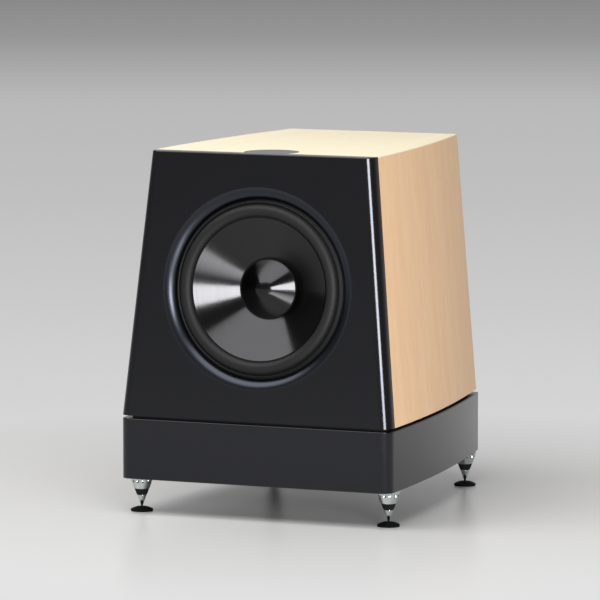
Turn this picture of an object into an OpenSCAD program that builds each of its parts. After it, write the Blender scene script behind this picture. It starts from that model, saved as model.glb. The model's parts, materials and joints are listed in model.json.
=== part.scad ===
// Active hi-fi subwoofer cabinet on a plinth with levelling spike feet.
// Frame: origin on the floor under the middle, front to -Y, right to +X, up to +Z, in millimetres.

/* [Cabinet] */
// Width at the foot of the front baffle
cabinet_w = 401; // [370:1:430]
// Width at the top of the front baffle
cabinet_top_w = 330; // [310:1:350]
// Height above the shadow gap
cabinet_h = 366; // [355:1:400]
// Depth from the front of the plinth to the back face
cabinet_d = 448; // [430:1:480]
// Plan radius of the bowed sides
side_bow_r = 2400; // [2000:10:3000]
// Angle that the baffle leans back
baffle_lean = 4; // [3:0.5:5]
// Thickness of the lacquered front baffle
baffle_t = 20; // [20:0.5:26]
// Thickness of the carcass boards
board_t = 20; // [18:1:24]
// Thickness of the wood veneer
veneer_t = 1; // [0.8:0.1:1.5]
// Radius on the upright front edges of baffle and plinth
edge_r = 15; // [8:1:18]
// Bevel along the top edge of the front baffle
baffle_bevel = 1.5; // [0.8:0.1:3]
// Radius of the black inlay disc in the top
inlay_r = 38; // [30:1:42]
// Thickness of the inlay disc
inlay_t = 6; // [4:0.5:8]
// Distance from the baffle's top front edge to the middle of the inlay
inlay_back = 41; // [40:1:50]
// Width of the ring brace's rails
brace_w = 42; // [32:1:55]

/* [Plinth] */
// Height of the plinth block
plinth_h = 84; // [76:1:95]
// Bevel round the top edge of the plinth
plinth_bevel = 1.6; // [0.8:0.1:3]
// Height of the shadow gap
gap_h = 4; // [3:0.5:6]
// Set-back of the spacer in the shadow gap
gap_inset = 14; // [10:1:20]
// Thread radius of the bolts that hold the cabinet down
bolt_r = 4; // [3:0.5:5]

/* [Feet] */
// Floor to the underside of the plinth
foot_h = 50; // [48:0.5:56]
// Radius of the cup at its top
cup_r = 16; // [15:0.5:18]
// Radius of the floor disc
disc_r = 15.5; // [14:0.5:18]
// Thickness of the floor disc at its rim
disc_t = 2.6; // [2.2:0.1:3.2]
// Rise of the floor disc's dome above its rim
disc_dome = 4.2; // [3:0.2:5]
// Number of grip flutes round the cup
flutes = 12; // [8:1:16]
// Thread radius of the stud
stud_r = 4; // [3:0.5:5]
// Length of the stud above the cup
stud_len = 24; // [20:1:28]
// Foot axis in from the side of the plinth
foot_in_side = 16.5; // [16:0.5:26]
// Front feet back from the front of the plinth
foot_in_front = 38.5; // [32:0.5:60]
// Rear feet in from the back of the plinth
foot_in_rear = 16.5; // [16:0.5:40]

/* [Woofer] */
// Radius of the cone at its rim
cone_r = 98; // [95:0.5:98.5]
// Slope of the cone from the plane of its rim
cone_angle = 31; // [28:1:34]
// Thickness of the spun cone, along the axis
cone_t = 1; // [0.8:0.1:1.4]
// Width of the folded hem at the cone's rim
hem_w = 4; // [3:0.5:5]
// Step of the hem above the cone
hem_t = 0.5; // [0.3:0.1:0.8]
// Radius of the dust cap
cap_r = 40; // [36:1:46]
// Slope of the dust cap's flank
cap_angle = 31; // [24:1:34]
// Radius of the half roll of the surround
roll_r = 12.5; // [11:0.1:12.8]
// Thickness of the surround's rubber
rubber_t = 1.5; // [1.2:0.1:1.8]
// Radius of the basket's flange
flange_r = 135; // [133:0.5:137]
// Thickness of the basket's flange
flange_t = 6; // [5:0.5:7]
// Radius of the opening in the baffle, at the foot of its rounded mouth
mouth_r = 126; // [125:0.5:127]
// Radius of the rounded mouth of the opening
mouth_round = 10; // [6:0.5:10.5]
// Distance of the woofer's axis below the middle of the baffle
driver_drop = 1.5; // [0:0.5:8]
// Number of spokes in the basket
spokes = 6; // [5:1:8]
// Outside radius of the voice coil former
former_r = 25.6; // [24:0.2:27]
// Thickness of the voice coil winding
coil_t = 1.6; // [1:0.1:2]
// Air gap on each side of the coil
air_gap = 0.8; // [0.6:0.1:1.2]
// Radius of the ferrite magnet
magnet_r = 72; // [66:1:80]
// Thickness of the ferrite magnet
magnet_t = 35; // [30:1:42]
// Thickness of each steel motor plate
plate_t = 10; // [8:0.5:12]
// Travel of the cone each way
travel = 10; // [6:1:12]

/* [Amplifier] */
// Width of the amplifier panel
amp_w = 190; // [182:1:200]
// Height of the amplifier panel
amp_h = 240; // [234:1:250]
// Thickness of the amplifier panel
amp_t = 4; // [3:0.5:5]
// Depth of the sealed box behind the panel
box_d = 72; // [66:1:90]
// Radius of the knobs
knob_r = 11; // [9:0.5:13]
// Height of the knobs
knob_h = 15; // [14:0.5:18]
// Height of the heat sink over the panel
sink_h = 14; // [10:0.5:14.5]
// Number of heat sink fins
fins = 13; // [9:1:15]
// Radius of the control shafts
shaft_r = 3; // [2.5:0.5:3.5]

/* [Hidden] */
$fn = 96;
// running clearance between pieces that move on each other
gap = 0.4;
// fit clearance between pieces that are fixed together
fit = 0.2;

// heights in the stack
plinth_z = foot_h;
cab_z = foot_h + plinth_h + gap_h;
top_z = cab_z + cabinet_h;
knob_gap = 0.6;
rear_reach = knob_gap + knob_h;
front_y = -(cabinet_d + rear_reach) / 2;
back_y = front_y + cabinet_d;
half_w = cabinet_w / 2;

// leaning frame of the baffle
slope_h = cabinet_h / cos(baffle_lean);
taper = atan((cabinet_w - cabinet_top_w) / 2 / slope_h);
tan_y = front_y + baffle_t / cos(baffle_lean);
wall_in = veneer_t + board_t;
roof_z = top_z - veneer_t;
inlay_y = front_y + cabinet_h * tan(baffle_lean) + inlay_back;

// woofer stack, measured out from the face of the sub-baffle
seal_t = 1.5;
drv_z = slope_h / 2 - driver_drop;
flange_z = seal_t;
face_z = flange_z + flange_t;
lip_z = face_z + rubber_t;
slope = tan(cone_angle);
rim_z = face_z + 3.9;
hem_in = cone_r - hem_w;
roll_in = cone_r + 0.5;
roll_mid = roll_in + roll_r;
roll_out = roll_mid + roll_r;
surround_out = roll_out + 5;
neck_z = cone_front(former_r);
former_t = 0.6;
coil_out = former_r + coil_t;
pole_r = former_r - former_t - air_gap;
plate_in = coil_out + air_gap;
spider_z = neck_z - 8;
plate_z = spider_z - travel - 13;
plate_r = magnet_r - 10;
magnet_z = plate_z - plate_t;
back_z = magnet_z - magnet_t;
coil_len = plate_t + 2 * travel;
coil_mid = plate_z - plate_t / 2;
seat_r = plate_r + 6;
knee_r = seat_r + 6;
throat_r = cone_r + 5.5;
hole_r = throat_r + 7;

// amplifier places, from the middle of the panel seen from behind
amp_z = cab_z + cabinet_h / 2 - 13;
box_w = amp_w - 22;
box_h = amp_h - 22;
box_wall = 1.5;
board_w = box_w - 24;
board_h = amp_h * 11 / 30;
board_y = board_h / 2 + 7 - box_h / 2;
board_gap = 26;
board_t_pcb = 1.6;
pillar_in = 6;
knob_y = board_y + board_h / 2;
knob_step = amp_w * 0.274;
knob_x = [-knob_step, 0, knob_step];
jack_y = board_y + 6;
jack_r = 4.15;
jack_step = 18;
jack_x = [for (i = [0 : 2]) amp_w / 5 + i * jack_step];
inlet_p = [-amp_w / 4, board_y - 26];
switch_p = [8, board_y - 26];
inlet_room = 15;
rocker_pivot = -2.4;
rocker_throw = 16;
rocker_pin = 1.2;
toroid_r = amp_h * 11 / 60;
toroid_h = box_d / 2;
toroid_y = box_h / 2 - toroid_r - 9;
cap_can_r = 15;
cap_can_h = box_d - board_gap - 12;
sink_w = amp_w - 40;
sink_len = amp_h * 0.383;
amp_screws = [for (x = [-1, 1]) for (y = [-1, 0, 1]) [x * (amp_w / 2 - 5.5), y * (amp_h / 2 - 8)]];

// loudspeaker lead from the amplifier box to the woofer's terminals
lead_r = 3;
lead_bend = 12;
lead_drop = 4;
lead_out = knee_r + 4;
lead_x = lead_out * cos(45);
lead_up = drv_z + lead_out * sin(45);
lead_in = baffle_t - plate_z + 9.5;
lead_end_y = front_y + lead_in * cos(baffle_lean) + lead_up * sin(baffle_lean);
lead_end_z = cab_z - lead_in * sin(baffle_lean) + lead_up * cos(baffle_lean);
lead_z = lead_end_z + 2 * lead_bend + lead_drop;

// feet
insert_r = stud_r + 2.5;
foot_front = [half_w - foot_in_side, front_y + foot_in_front];
rear_foot_y = back_y - foot_in_rear;
foot_rear = [plan_half(rear_foot_y) - foot_in_side, rear_foot_y];
disc_top = disc_t + disc_dome;
dimple = 1;
tip_z = disc_top - dimple + gap;
tip_r = 0.8;
cup_z = foot_h - 20.3;
band_z = cup_z - 8.4;
cup_low = cup_r - 5.6;
cup_wall = 3;
flute_r = 2.6;
flute_low = 12;
flute_lean = 12;
bolt_x = half_w - 90;
bolt_y = [front_y + 100, back_y - 100];

function plan_half(y) = half_w - side_bow_r + sqrt(side_bow_r * side_bow_r - (y - tan_y) * (y - tan_y));
function cone_front(r) = rim_z - (cone_r - r) * slope;
function spike_r(z) = tip_r + (cup_low - tip_r) * (z - tip_z) / (cup_z - tip_z);
function mid_y(z) = front_y + (z - cab_z) * tan(baffle_lean);

// frames and cutting solids

module lean() {
  translate([0, front_y, cab_z])
    rotate([-baffle_lean, 0, 0])
      children();
}

module driver() {
  lean()
    translate([0, baffle_t, drv_z])
      rotate([90, 0, 0])
        children();
}

module rear(x = 0, y = 0) {
  translate([-x, back_y, amp_z + y])
    rotate([90, 0, 180])
      children();
}

module slab(y0, y1, z0, z1) {
  translate([-half_w - 100, y0, z0])
    cube([cabinet_w + 200, y1 - y0, z1 - z0]);
}

module right_half(y0, y1, z0, z1) {
  translate([1, y0, z0])
    cube([half_w + 100, y1 - y0, z1 - z0]);
}

module behind(s) {
  lean()
    translate([-half_w - 100, s, -120])
      cube([cabinet_w + 200, cabinet_d + 200, cabinet_h + 240]);
}

module bow(inset) {
  lean()
    translate([half_w, baffle_t, 0])
      rotate([0, -taper, 0])
        translate([-side_bow_r, 0, -150])
          cylinder(r = side_bow_r - inset, h = cabinet_h + 300, $fn = 720);
}

module between_sides(inset) {
  intersection() {
    bow(inset);
    mirror([1, 0, 0])
      bow(inset);
  }
}

module plan(inset, z0, z1) {
  intersection() {
    translate([half_w - side_bow_r, tan_y, z0])
      cylinder(r = side_bow_r - inset, h = z1 - z0, $fn = 720);
    translate([side_bow_r - half_w, tan_y, z0])
      cylinder(r = side_bow_r - inset, h = z1 - z0, $fn = 720);
    slab(front_y + inset, back_y - inset, z0, z1);
  }
}

module edge_round(h) {
  difference() {
    translate([-edge_r, -1, -h])
      cube([edge_r + 1, edge_r + 1, 2 * h]);
    translate([-edge_r, edge_r, -h - 1])
      cylinder(r = edge_r, h = 2 * h + 2);
  }
}

module bevel_plane(y, z) {
  reach = 2 * cabinet_d;
  translate([0, y, z])
    rotate([45, 0, 0])
      translate([-half_w - 100, -reach, 0])
        cube([cabinet_w + 200, 2 * reach, reach]);
}

module bevel_cone(z1, h) {
  translate([half_w - side_bow_r, tan_y, z1 - h])
    cylinder(r1 = side_bow_r - plinth_bevel + h, r2 = side_bow_r - plinth_bevel, h = h, $fn = 720);
}

module bevel_corner() {
  over = 1;
  translate([-edge_r, 0, -plinth_bevel])
    difference() {
      translate([0, -over, 0])
        cube([edge_r + over, edge_r + over, plinth_bevel + over]);
      translate([0, edge_r, 0])
        cylinder(r1 = edge_r, r2 = edge_r - plinth_bevel - over, h = plinth_bevel + over);
    }
}

module ring(r0, r1, z0, z1) {
  rotate_extrude()
    translate([r0, z0])
      square([r1 - r0, z1 - z0]);
}

// carcass and plinth

module plinth() {
  plinth_top = plinth_z + plinth_h;
  color([0.05, 0.05, 0.055])
    difference() {
      intersection() {
        plan(0, plinth_z, plinth_top);
        bevel_cone(plinth_top, plinth_h);
        mirror([1, 0, 0])
          bevel_cone(plinth_top, plinth_h);
      }
      bevel_plane(front_y, plinth_top - plinth_bevel);
      translate([0, back_y, 0])
        mirror([0, 1, 0])
          bevel_plane(0, plinth_top - plinth_bevel);
      for (s = [0, 1])
        mirror([s, 0, 0]) {
          translate([half_w, front_y, plinth_z])
            edge_round(plinth_h + 10);
          translate([half_w, front_y, plinth_top])
            bevel_corner();
        }
      for (p = [foot_front, foot_rear])
        for (s = [-1, 1])
          translate([s * p[0], p[1], plinth_z - 1])
            cylinder(r = insert_r, h = stud_len + 5);
      for (x = [-bolt_x, bolt_x])
        for (y = bolt_y) {
          translate([x, y, plinth_z - 1])
            cylinder(r = bolt_r * 2, h = plinth_h / 2 + 1);
          translate([x, y, plinth_z])
            cylinder(r = bolt_r + gap, h = plinth_h + 1);
        }
    }
}

module gap_spacer() {
  color([0.04, 0.04, 0.04])
    difference() {
      plan(gap_inset, plinth_z + plinth_h, cab_z);
      for (x = [-bolt_x, bolt_x])
        for (y = bolt_y)
          translate([x, y, plinth_z + plinth_h - 1])
            cylinder(r = bolt_r + gap, h = gap_h + 2);
    }
}

module hold_down_bolts() {
  color([0.35, 0.35, 0.37])
    for (x = [-bolt_x, bolt_x])
      for (y = bolt_y)
        translate([x, y, plinth_z + plinth_h / 2])
          difference() {
            union() {
              translate([0, 0, -bolt_r * 2])
                cylinder(r = bolt_r * 1.6, h = bolt_r * 2);
              cylinder(r = bolt_r, h = plinth_h / 2 + gap_h + board_t - 4);
            }
            translate([0, 0, -bolt_r * 2 - 1])
              cylinder(r = bolt_r * 0.8, h = bolt_r + 1, $fn = 6);
          }
}

module bottom_panel() {
  color([0.55, 0.42, 0.30])
    difference() {
      intersection() {
        between_sides(wall_in);
        slab(front_y, back_y - board_t, cab_z, cab_z + board_t);
        behind(baffle_t);
      }
      for (x = [-bolt_x, bolt_x])
        for (y = bolt_y)
          translate([x, y, cab_z - 1])
            cylinder(r = bolt_r, h = board_t - 3);
    }
}

module side_panel_right() {
  color([0.55, 0.42, 0.30])
    intersection() {
      difference() {
        bow(veneer_t);
        bow(wall_in);
      }
      right_half(front_y, back_y - board_t, cab_z, roof_z);
      behind(baffle_t);
    }
}

module side_panel_left() {
  mirror([1, 0, 0])
    side_panel_right();
}

module top_panel() {
  color([0.55, 0.42, 0.30])
    difference() {
      intersection() {
        between_sides(wall_in);
        slab(front_y, back_y - board_t, roof_z - board_t, roof_z);
        behind(baffle_t);
      }
      inlay_bore(0);
    }
}

module inlay_bore(extra) {
  translate([0, inlay_y, top_z - inlay_t])
    cylinder(r = inlay_r + fit, h = inlay_t + 1 + extra);
}

module rear_panel() {
  color([0.06, 0.06, 0.06])
    difference() {
      intersection() {
        between_sides(veneer_t);
        slab(back_y - board_t, back_y, cab_z, roof_z);
      }
      rear()
        translate([-box_w / 2 - 1.5, -box_h / 2 - 1.5, -board_t - 1])
          cube([box_w + 3, box_h + 3, board_t + 2]);
      rear()
        translate([-amp_w / 2 - 0.3, -amp_h / 2 - 0.3, -amp_t])
          cube([amp_w + 0.6, amp_h + 0.6, amp_t + 1]);
      for (p = amp_screws)
        rear(p[0], p[1])
          translate([0, 0, -amp_t - 11])
            cylinder(r = 2, h = 13);
    }
}

module sub_baffle() {
  color([0.55, 0.42, 0.30])
    difference() {
      intersection() {
        between_sides(wall_in);
        slab(front_y, back_y, cab_z + board_t, roof_z - board_t);
        lean()
          translate([-half_w, baffle_t, -60])
            cube([cabinet_w, board_t, cabinet_h + 120]);
      }
      driver()
        translate([0, 0, -board_t - 1])
          cylinder(r = hole_r, h = board_t + 2);
      driver()
        screw_places()
          translate([0, 0, -14])
            cylinder(r = 2.4, h = 20);
    }
}

module ring_brace() {
  brace_y = (mid_y(cab_z) + back_y) / 2;
  win_z0 = cab_z + board_t + brace_w;
  win_z1 = roof_z - board_t - brace_w;
  color([0.55, 0.42, 0.30])
    difference() {
      intersection() {
        between_sides(wall_in);
        slab(brace_y, brace_y + 18, cab_z + board_t, roof_z - board_t);
      }
      intersection() {
        between_sides(wall_in + brace_w);
        slab(brace_y - 1, brace_y + 19, win_z0, win_z1);
      }
    }
}

module front_baffle() {
  color([0.045, 0.045, 0.05])
    difference() {
      intersection() {
        lean()
          baffle_board();
        slab(front_y - 50, back_y, cab_z, top_z);
      }
      driver()
        baffle_mouth();
      bevel_plane(mid_y(top_z) + baffle_bevel, top_z);
      inlay_bore(0);
    }
}

module baffle_board() {
  difference() {
    rotate([90, 0, 0])
      translate([0, 0, -baffle_t])
        linear_extrude(height = baffle_t)
          baffle_outline();
    for (s = [0, 1])
      mirror([s, 0, 0])
        translate([half_w, 0, 0])
          rotate([0, -taper, 0])
            edge_round(cabinet_h + 60);
  }
}

module baffle_outline() {
  run = 40;
  low = half_w + run * tan(taper);
  high = half_w - (slope_h + run) * tan(taper);
  polygon([[-low, -run], [low, -run], [high, slope_h + run], [-high, slope_h + run]]);
}

module baffle_mouth() {
  seat = lip_z;
  rotate_extrude()
    difference() {
      translate([0, baffle_t - mouth_round])
        square([mouth_r + mouth_round, mouth_round + 1]);
      translate([mouth_r + mouth_round, baffle_t - mouth_round])
        circle(r = mouth_round);
    }
  translate([0, 0, -1])
    cylinder(r = mouth_r, h = baffle_t + 0.5);
  translate([0, 0, -1])
    cylinder(r = flange_r + 1, h = seat + 1);
}

module veneer_right() {
  color([0.86, 0.70, 0.55])
    intersection() {
      difference() {
        bow(0);
        bow(veneer_t);
      }
      right_half(front_y, back_y, cab_z, roof_z);
      behind(baffle_t);
    }
}

module veneer_left() {
  mirror([1, 0, 0])
    veneer_right();
}

module veneer_top() {
  color([0.86, 0.70, 0.55])
    difference() {
      intersection() {
        between_sides(0);
        slab(front_y, back_y, roof_z, top_z);
        behind(baffle_t);
      }
      inlay_bore(0);
    }
}

module top_inlay() {
  color([0.05, 0.05, 0.05])
    translate([0, inlay_y, top_z - inlay_t])
      cylinder(r = inlay_r, h = inlay_t);
}

// woofer

module screw_places() {
  for (i = [0 : 7])
    rotate([0, 0, i * 45 + 22.5])
      translate([flange_r - 5.5, 0, 0])
        children();
}

module basket() {
  wall = 5;
  color([0.10, 0.10, 0.11])
    driver()
      difference() {
        rotate_extrude()
          polygon([
            [throat_r, flange_z - 1], [throat_r, face_z], [flange_r, face_z], [flange_r, flange_z],
            [throat_r + wall + 1, flange_z], [throat_r + wall, flange_z - 3], [knee_r, spider_z - 3],
            [knee_r, plate_z], [seat_r - 26, plate_z], [seat_r - 26, plate_z + 6],
            [seat_r - 4, plate_z + 6], [seat_r - 4, spider_z], [seat_r + 1, spider_z]
          ]);
        screw_places()
          translate([0, 0, flange_z - 1])
            cylinder(r = 2.4 + fit, h = flange_t + 2);
        screw_places()
          translate([0, 0, face_z - 3.4])
            cylinder(r = 4 + fit, h = 5);
        for (i = [0 : spokes - 1])
          rotate([0, 0, i * 360 / spokes + 90 + 90 / spokes])
            rotate_extrude(angle = 180 / spokes)
              translate([seat_r - 20, spider_z + 5])
                square([flange_r - seat_r, flange_z - 5 - spider_z - 5]);
        for (i = [0 : spokes - 1])
          rotate([0, 0, i * 360 / spokes + 90 + 90 / spokes])
            rotate_extrude(angle = 180 / spokes)
              translate([seat_r - 5, plate_z + 8])
                square([20, spider_z - plate_z - 14]);
      }
}

module driver_gasket() {
  color([0.03, 0.03, 0.03])
    driver()
      difference() {
        ring(hole_r, flange_r, 0, flange_z);
        screw_places()
          translate([0, 0, -1])
            cylinder(r = 2.6, h = seal_t + 2);
      }
}

module driver_screws() {
  color([0.4, 0.4, 0.42])
    driver()
      screw_places()
        difference() {
          union() {
            translate([0, 0, -13])
              cylinder(r = 2.4, h = face_z + 12);
            translate([0, 0, face_z - 3.4])
              cylinder(r = 4, h = 3.4);
          }
          translate([0, 0, face_z - 1.8])
            cylinder(r = 1.7, h = 3, $fn = 6);
        }
}

module driver_terminals() {
  color([0.5, 0.42, 0.2])
    driver()
      rotate([0, 0, 45]) {
        rotate([0, 0, -6])
          rotate_extrude(angle = 12)
            translate([knee_r, plate_z + 1])
              square([7, 6]);
        for (y = [-2.4, 1.2])
          translate([knee_r + 2, y, plate_z - 9])
            cube([4, 1.2, 11]);
      }
}

module top_plate() {
  color([0.55, 0.56, 0.58])
    driver()
      ring(plate_in, plate_r, magnet_z, plate_z);
}

module magnet() {
  color([0.16, 0.16, 0.17])
    driver()
      ring(plate_in + 12, magnet_r, back_z, magnet_z);
}

module yoke() {
  color([0.55, 0.56, 0.58])
    driver()
      difference() {
        rotate_extrude()
          polygon([
            [0, back_z - plate_t], [plate_r - 2, back_z - plate_t], [plate_r, back_z - plate_t + 2],
            [plate_r, back_z], [pole_r, back_z], [pole_r, plate_z - 1], [pole_r - 1, plate_z],
            [0, plate_z]
          ]);
        translate([0, 0, back_z - plate_t - 1])
          cylinder(r = 9, h = plate_z - back_z + plate_t + 2);
      }
}

module surround() {
  foot = roll_in + rubber_t / 2;
  glue_in = cone_front(hem_in) - cone_t - fit;
  glue_out = cone_front(cone_r) - cone_t - fit;
  color([0.035, 0.035, 0.04])
    driver() {
      rotate_extrude() {
        difference() {
          translate([roll_mid, face_z])
            circle(r = roll_r);
          translate([roll_mid, face_z])
            circle(r = roll_r - rubber_t);
          translate([roll_mid - 2 * roll_r, face_z - 2 * roll_r])
            square([4 * roll_r, 2 * roll_r]);
        }
        translate([roll_out - rubber_t / 2, face_z])
          square([surround_out - roll_out + rubber_t / 2, rubber_t]);
      }
      rotate_extrude()
        polygon([
          [hem_in, glue_in - rubber_t], [hem_in, glue_in], [cone_r, glue_out],
          [foot, glue_out], [foot, face_z]
        ]);
    }
}

module seal_ring() {
  color([0.02, 0.02, 0.02])
    driver()
      ring(surround_out + fit, flange_r - 0.5, face_z, lip_z);
}

module spider() {
  r0 = former_r + gap;
  r1 = seat_r - 8;
  n = 40;
  t = 0.6;
  wave = [for (i = [0 : n]) [r0 + 4 + (r1 - r0 - 4) * i / n, spider_z + t + 2.2 * sin(360 * 5 * i / n)]];
  low = [for (i = [0 : n]) [wave[n - i][0], wave[n - i][1] - t]];
  color([0.62, 0.47, 0.24])
    driver()
      rotate_extrude()
        polygon(concat(
          [[r0, spider_z - 1.4], [r0, spider_z + t + 1.4]],
          [[r0 + 1, spider_z + t + 1.4], [r0 + 1, spider_z + t]],
          wave,
          [[seat_r, spider_z + t], [seat_r, spider_z]],
          low,
          [[r0 + 1, spider_z], [r0 + 1, spider_z - 1.4]]
        ));
}

module cone() {
  color([0.22, 0.22, 0.24])
    driver()
      rotate_extrude()
        polygon([
          [former_r, cone_front(former_r)], [hem_in, cone_front(hem_in)],
          [hem_in, cone_front(hem_in) + hem_t], [cone_r, cone_front(cone_r) + hem_t],
          [cone_r, cone_front(cone_r) - cone_t], [former_r, cone_front(former_r) - cone_t]
        ]);
}

module dust_cap() {
  foot = 2;
  t = 0.8;
  base = cone_front(cap_r) + 1.6;
  tip_r = cap_r * 0.34;
  tip_s = tip_r / sin(cap_angle);
  tip_base = base + (cap_r - tip_r) * tan(cap_angle);
  tip_mid = tip_base - tip_s * cos(cap_angle);
  n = 10;
  dome = [for (i = [0 : n]) let (a = cap_angle * (1 - i / n)) [tip_s * sin(a), tip_mid + tip_s * cos(a)]];
  in_s = tip_s - t;
  under = [for (i = [0 : n]) let (a = cap_angle * i / n) [in_s * sin(a), tip_mid + in_s * cos(a)]];
  color([0.25, 0.25, 0.27])
    driver()
      rotate_extrude()
        polygon(concat(
          [[cap_r - foot, cone_front(cap_r - foot)], [cap_r + foot, cone_front(cap_r + foot)]],
          [[cap_r + foot, base + 0.4], [cap_r, base + 0.4], [cap_r, base]],
          dome,
          under,
          [[cap_r - foot, base - t]]
        ));
}

module coil_former() {
  color([0.6, 0.5, 0.3])
    driver()
      ring(former_r - former_t, former_r, coil_mid - coil_len / 2 - 2, neck_z + 1);
}

module voice_coil() {
  color([0.65, 0.36, 0.18])
    driver()
      ring(former_r, coil_out, coil_mid - coil_len / 2, coil_mid + coil_len / 2);
}

// amplifier

module plate(w, h, t, c) {
  linear_extrude(height = t)
    polygon([
      [-w / 2 + c, -h / 2], [w / 2 - c, -h / 2], [w / 2, -h / 2 + c], [w / 2, h / 2 - c],
      [w / 2 - c, h / 2], [-w / 2 + c, h / 2], [-w / 2, h / 2 - c], [-w / 2, -h / 2 + c]
    ]);
}

module amp_panel() {
  color([0.07, 0.07, 0.075])
    difference() {
      rear()
        translate([0, 0, -amp_t])
          plate(amp_w, amp_h, amp_t, 3);
      for (x = knob_x)
        rear(x, knob_y)
          translate([0, 0, -amp_t - 1])
            cylinder(r = shaft_r + gap, h = amp_t + 2);
      for (x = jack_x)
        rear(x, jack_y)
          translate([0, 0, -amp_t - 1])
            cylinder(r = 5, h = amp_t + 2);
      rear(inlet_p[0], inlet_p[1])
        translate([-13.6, -10.1, -amp_t - 1])
          cube([27.2, 20.2, amp_t + 2]);
      rear(switch_p[0], switch_p[1])
        translate([-7.1, -11.1, -amp_t - 1])
          cube([14.2, 22.2, amp_t + 2]);
      for (p = amp_screws)
        rear(p[0], p[1])
          translate([0, 0, -amp_t - 1])
            cylinder(r = 2 + fit, h = amp_t + 2);
    }
}

module heat_sink() {
  base = 3;
  fin_t = 2.4;
  step = (sink_w - fin_t) / (fins - 1);
  color([0.06, 0.06, 0.065])
    rear(0, toroid_y) {
      translate([-sink_w / 2, -sink_len / 2, 0])
        cube([sink_w, sink_len, base]);
      for (i = [0 : fins - 1])
        translate([-sink_w / 2 + i * step, -sink_len / 2, base])
          cube([fin_t, sink_len, sink_h - base]);
    }
}

module amp_box() {
  color([0.45, 0.46, 0.48])
    rear()
      difference() {
        translate([-box_w / 2, -box_h / 2, -amp_t - box_d])
          cube([box_w, box_h, box_d]);
        translate([-box_w / 2 + box_wall, -box_h / 2 + box_wall, -amp_t - box_d + box_wall])
          cube([box_w - 2 * box_wall, box_h - 2 * box_wall, box_d]);
        translate([-lead_x, lead_z - amp_z, -amp_t - box_d - 1])
          cylinder(r = lead_r + fit, h = box_wall + 2);
      }
}

module amp_board() {
  color([0.10, 0.32, 0.16])
    rear(0, board_y)
      difference() {
        translate([-board_w / 2, -board_h / 2, -amp_t - board_gap - board_t_pcb])
          cube([board_w, board_h, board_t_pcb]);
        translate([inlet_p[0] - inlet_room, -board_h / 2 - 1, -amp_t - board_gap - 3])
          cube([2 * inlet_room, inlet_p[1] - board_y + inlet_room + board_h / 2 + 1, 5]);
      }
}

module board_pillars() {
  color([0.7, 0.6, 0.3])
    for (x = [-1, 1])
      for (y = [-1, 1])
        rear(x * (board_w / 2 - pillar_in), board_y + y * (board_h / 2 - pillar_in))
          translate([0, 0, -amp_t - board_gap])
            cylinder(r = pillar_in / 2, h = board_gap);
}

module board_parts() {
  color([0.08, 0.09, 0.12]) {
    for (x = [board_w / 8, board_w / 8 + 2 * cap_can_r + 4])
      rear(x, board_y - board_h / 4)
        translate([0, 0, -amp_t - board_gap - board_t_pcb - cap_can_h])
          cylinder(r = cap_can_r, h = cap_can_h);
    for (x = [-1, 1])
      for (y = [-18, 18])
        rear(x * (box_w / 2 - 19), toroid_y + y)
          translate([-8, -10.5, -amp_t - 5])
            cube([16, 21, 5]);
    for (x = knob_x)
      rear(x, knob_y)
        difference() {
          translate([-8.5, -8.5, -amp_t - 10])
            cube([17, 17, 10]);
          translate([0, 0, -amp_t - 8])
            cylinder(r = shaft_r + gap, h = 12);
        }
  }
}

module transformer() {
  rim = 6;
  color([0.55, 0.30, 0.10])
    rear(0, toroid_y)
      translate([0, 0, -amp_t - toroid_h])
        rotate_extrude()
          polygon([
            [16, rim], [16 + rim, 0], [toroid_r - rim, 0], [toroid_r, rim],
            [toroid_r, toroid_h - rim], [toroid_r - rim, toroid_h],
            [16 + rim, toroid_h], [16, toroid_h - rim]
          ]);
}

module transformer_clamp() {
  color([0.6, 0.6, 0.62])
    rear(0, toroid_y)
      translate([0, 0, -amp_t - toroid_h]) {
        translate([0, 0, -2])
          cylinder(r = 26, h = 2);
        translate([0, 0, -2])
          cylinder(r = 3, h = toroid_h + 2);
        translate([0, 0, -7])
          cylinder(r = 5.8, h = 5, $fn = 6);
      }
}

module knob(x) {
  rear(x, knob_y)
    difference() {
      union() {
        translate([0, 0, knob_gap])
          cylinder(r = knob_r, h = 3);
        translate([0, 0, knob_gap + 3])
          cylinder(r1 = knob_r - 1, r2 = knob_r - 2, h = knob_h - 3);
        translate([0, 0, -amp_t - 7])
          cylinder(r = shaft_r, h = amp_t + 7 + knob_gap + 1);
      }
      translate([-0.7, knob_r - 7, knob_gap + knob_h - 1])
        cube([1.4, 8, 2]);
    }
}

module level_knob() {
  color([0.09, 0.09, 0.09])
    knob(knob_x[0]);
}

module crossover_knob() {
  color([0.09, 0.09, 0.09])
    knob(knob_x[1]);
}

module phase_knob() {
  color([0.09, 0.09, 0.09])
    knob(knob_x[2]);
}

module line_sockets() {
  color([0.78, 0.62, 0.25])
    for (x = jack_x)
      rear(x, jack_y)
        difference() {
          union() {
            cylinder(r = 6.4, h = 2, $fn = 6);
            cylinder(r = jack_r, h = 11);
            translate([0, 0, -amp_t])
              cylinder(r = 4.8, h = amp_t);
            translate([0, 0, -amp_t - 12])
              cylinder(r = 6.2, h = 12);
          }
          translate([0, 0, -2])
            cylinder(r = 1.65, h = 14);
        }
}

module mains_inlet() {
  color([0.05, 0.05, 0.05])
    rear(inlet_p[0], inlet_p[1])
      difference() {
        union() {
          plate(33, 26, 2.4, 3);
          translate([-13.5, -10, -amp_t - 16])
            cube([27, 20, amp_t + 16]);
        }
        translate([0, 0, -15])
          plate(24.4, 16.4, 20, 3);
        for (p = [[-7, 1], [7, 1], [0, -3]])
          translate([p[0] - 1, p[1] - 2, -amp_t - 17])
            cube([2, 4, 20]);
      }
}

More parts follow.
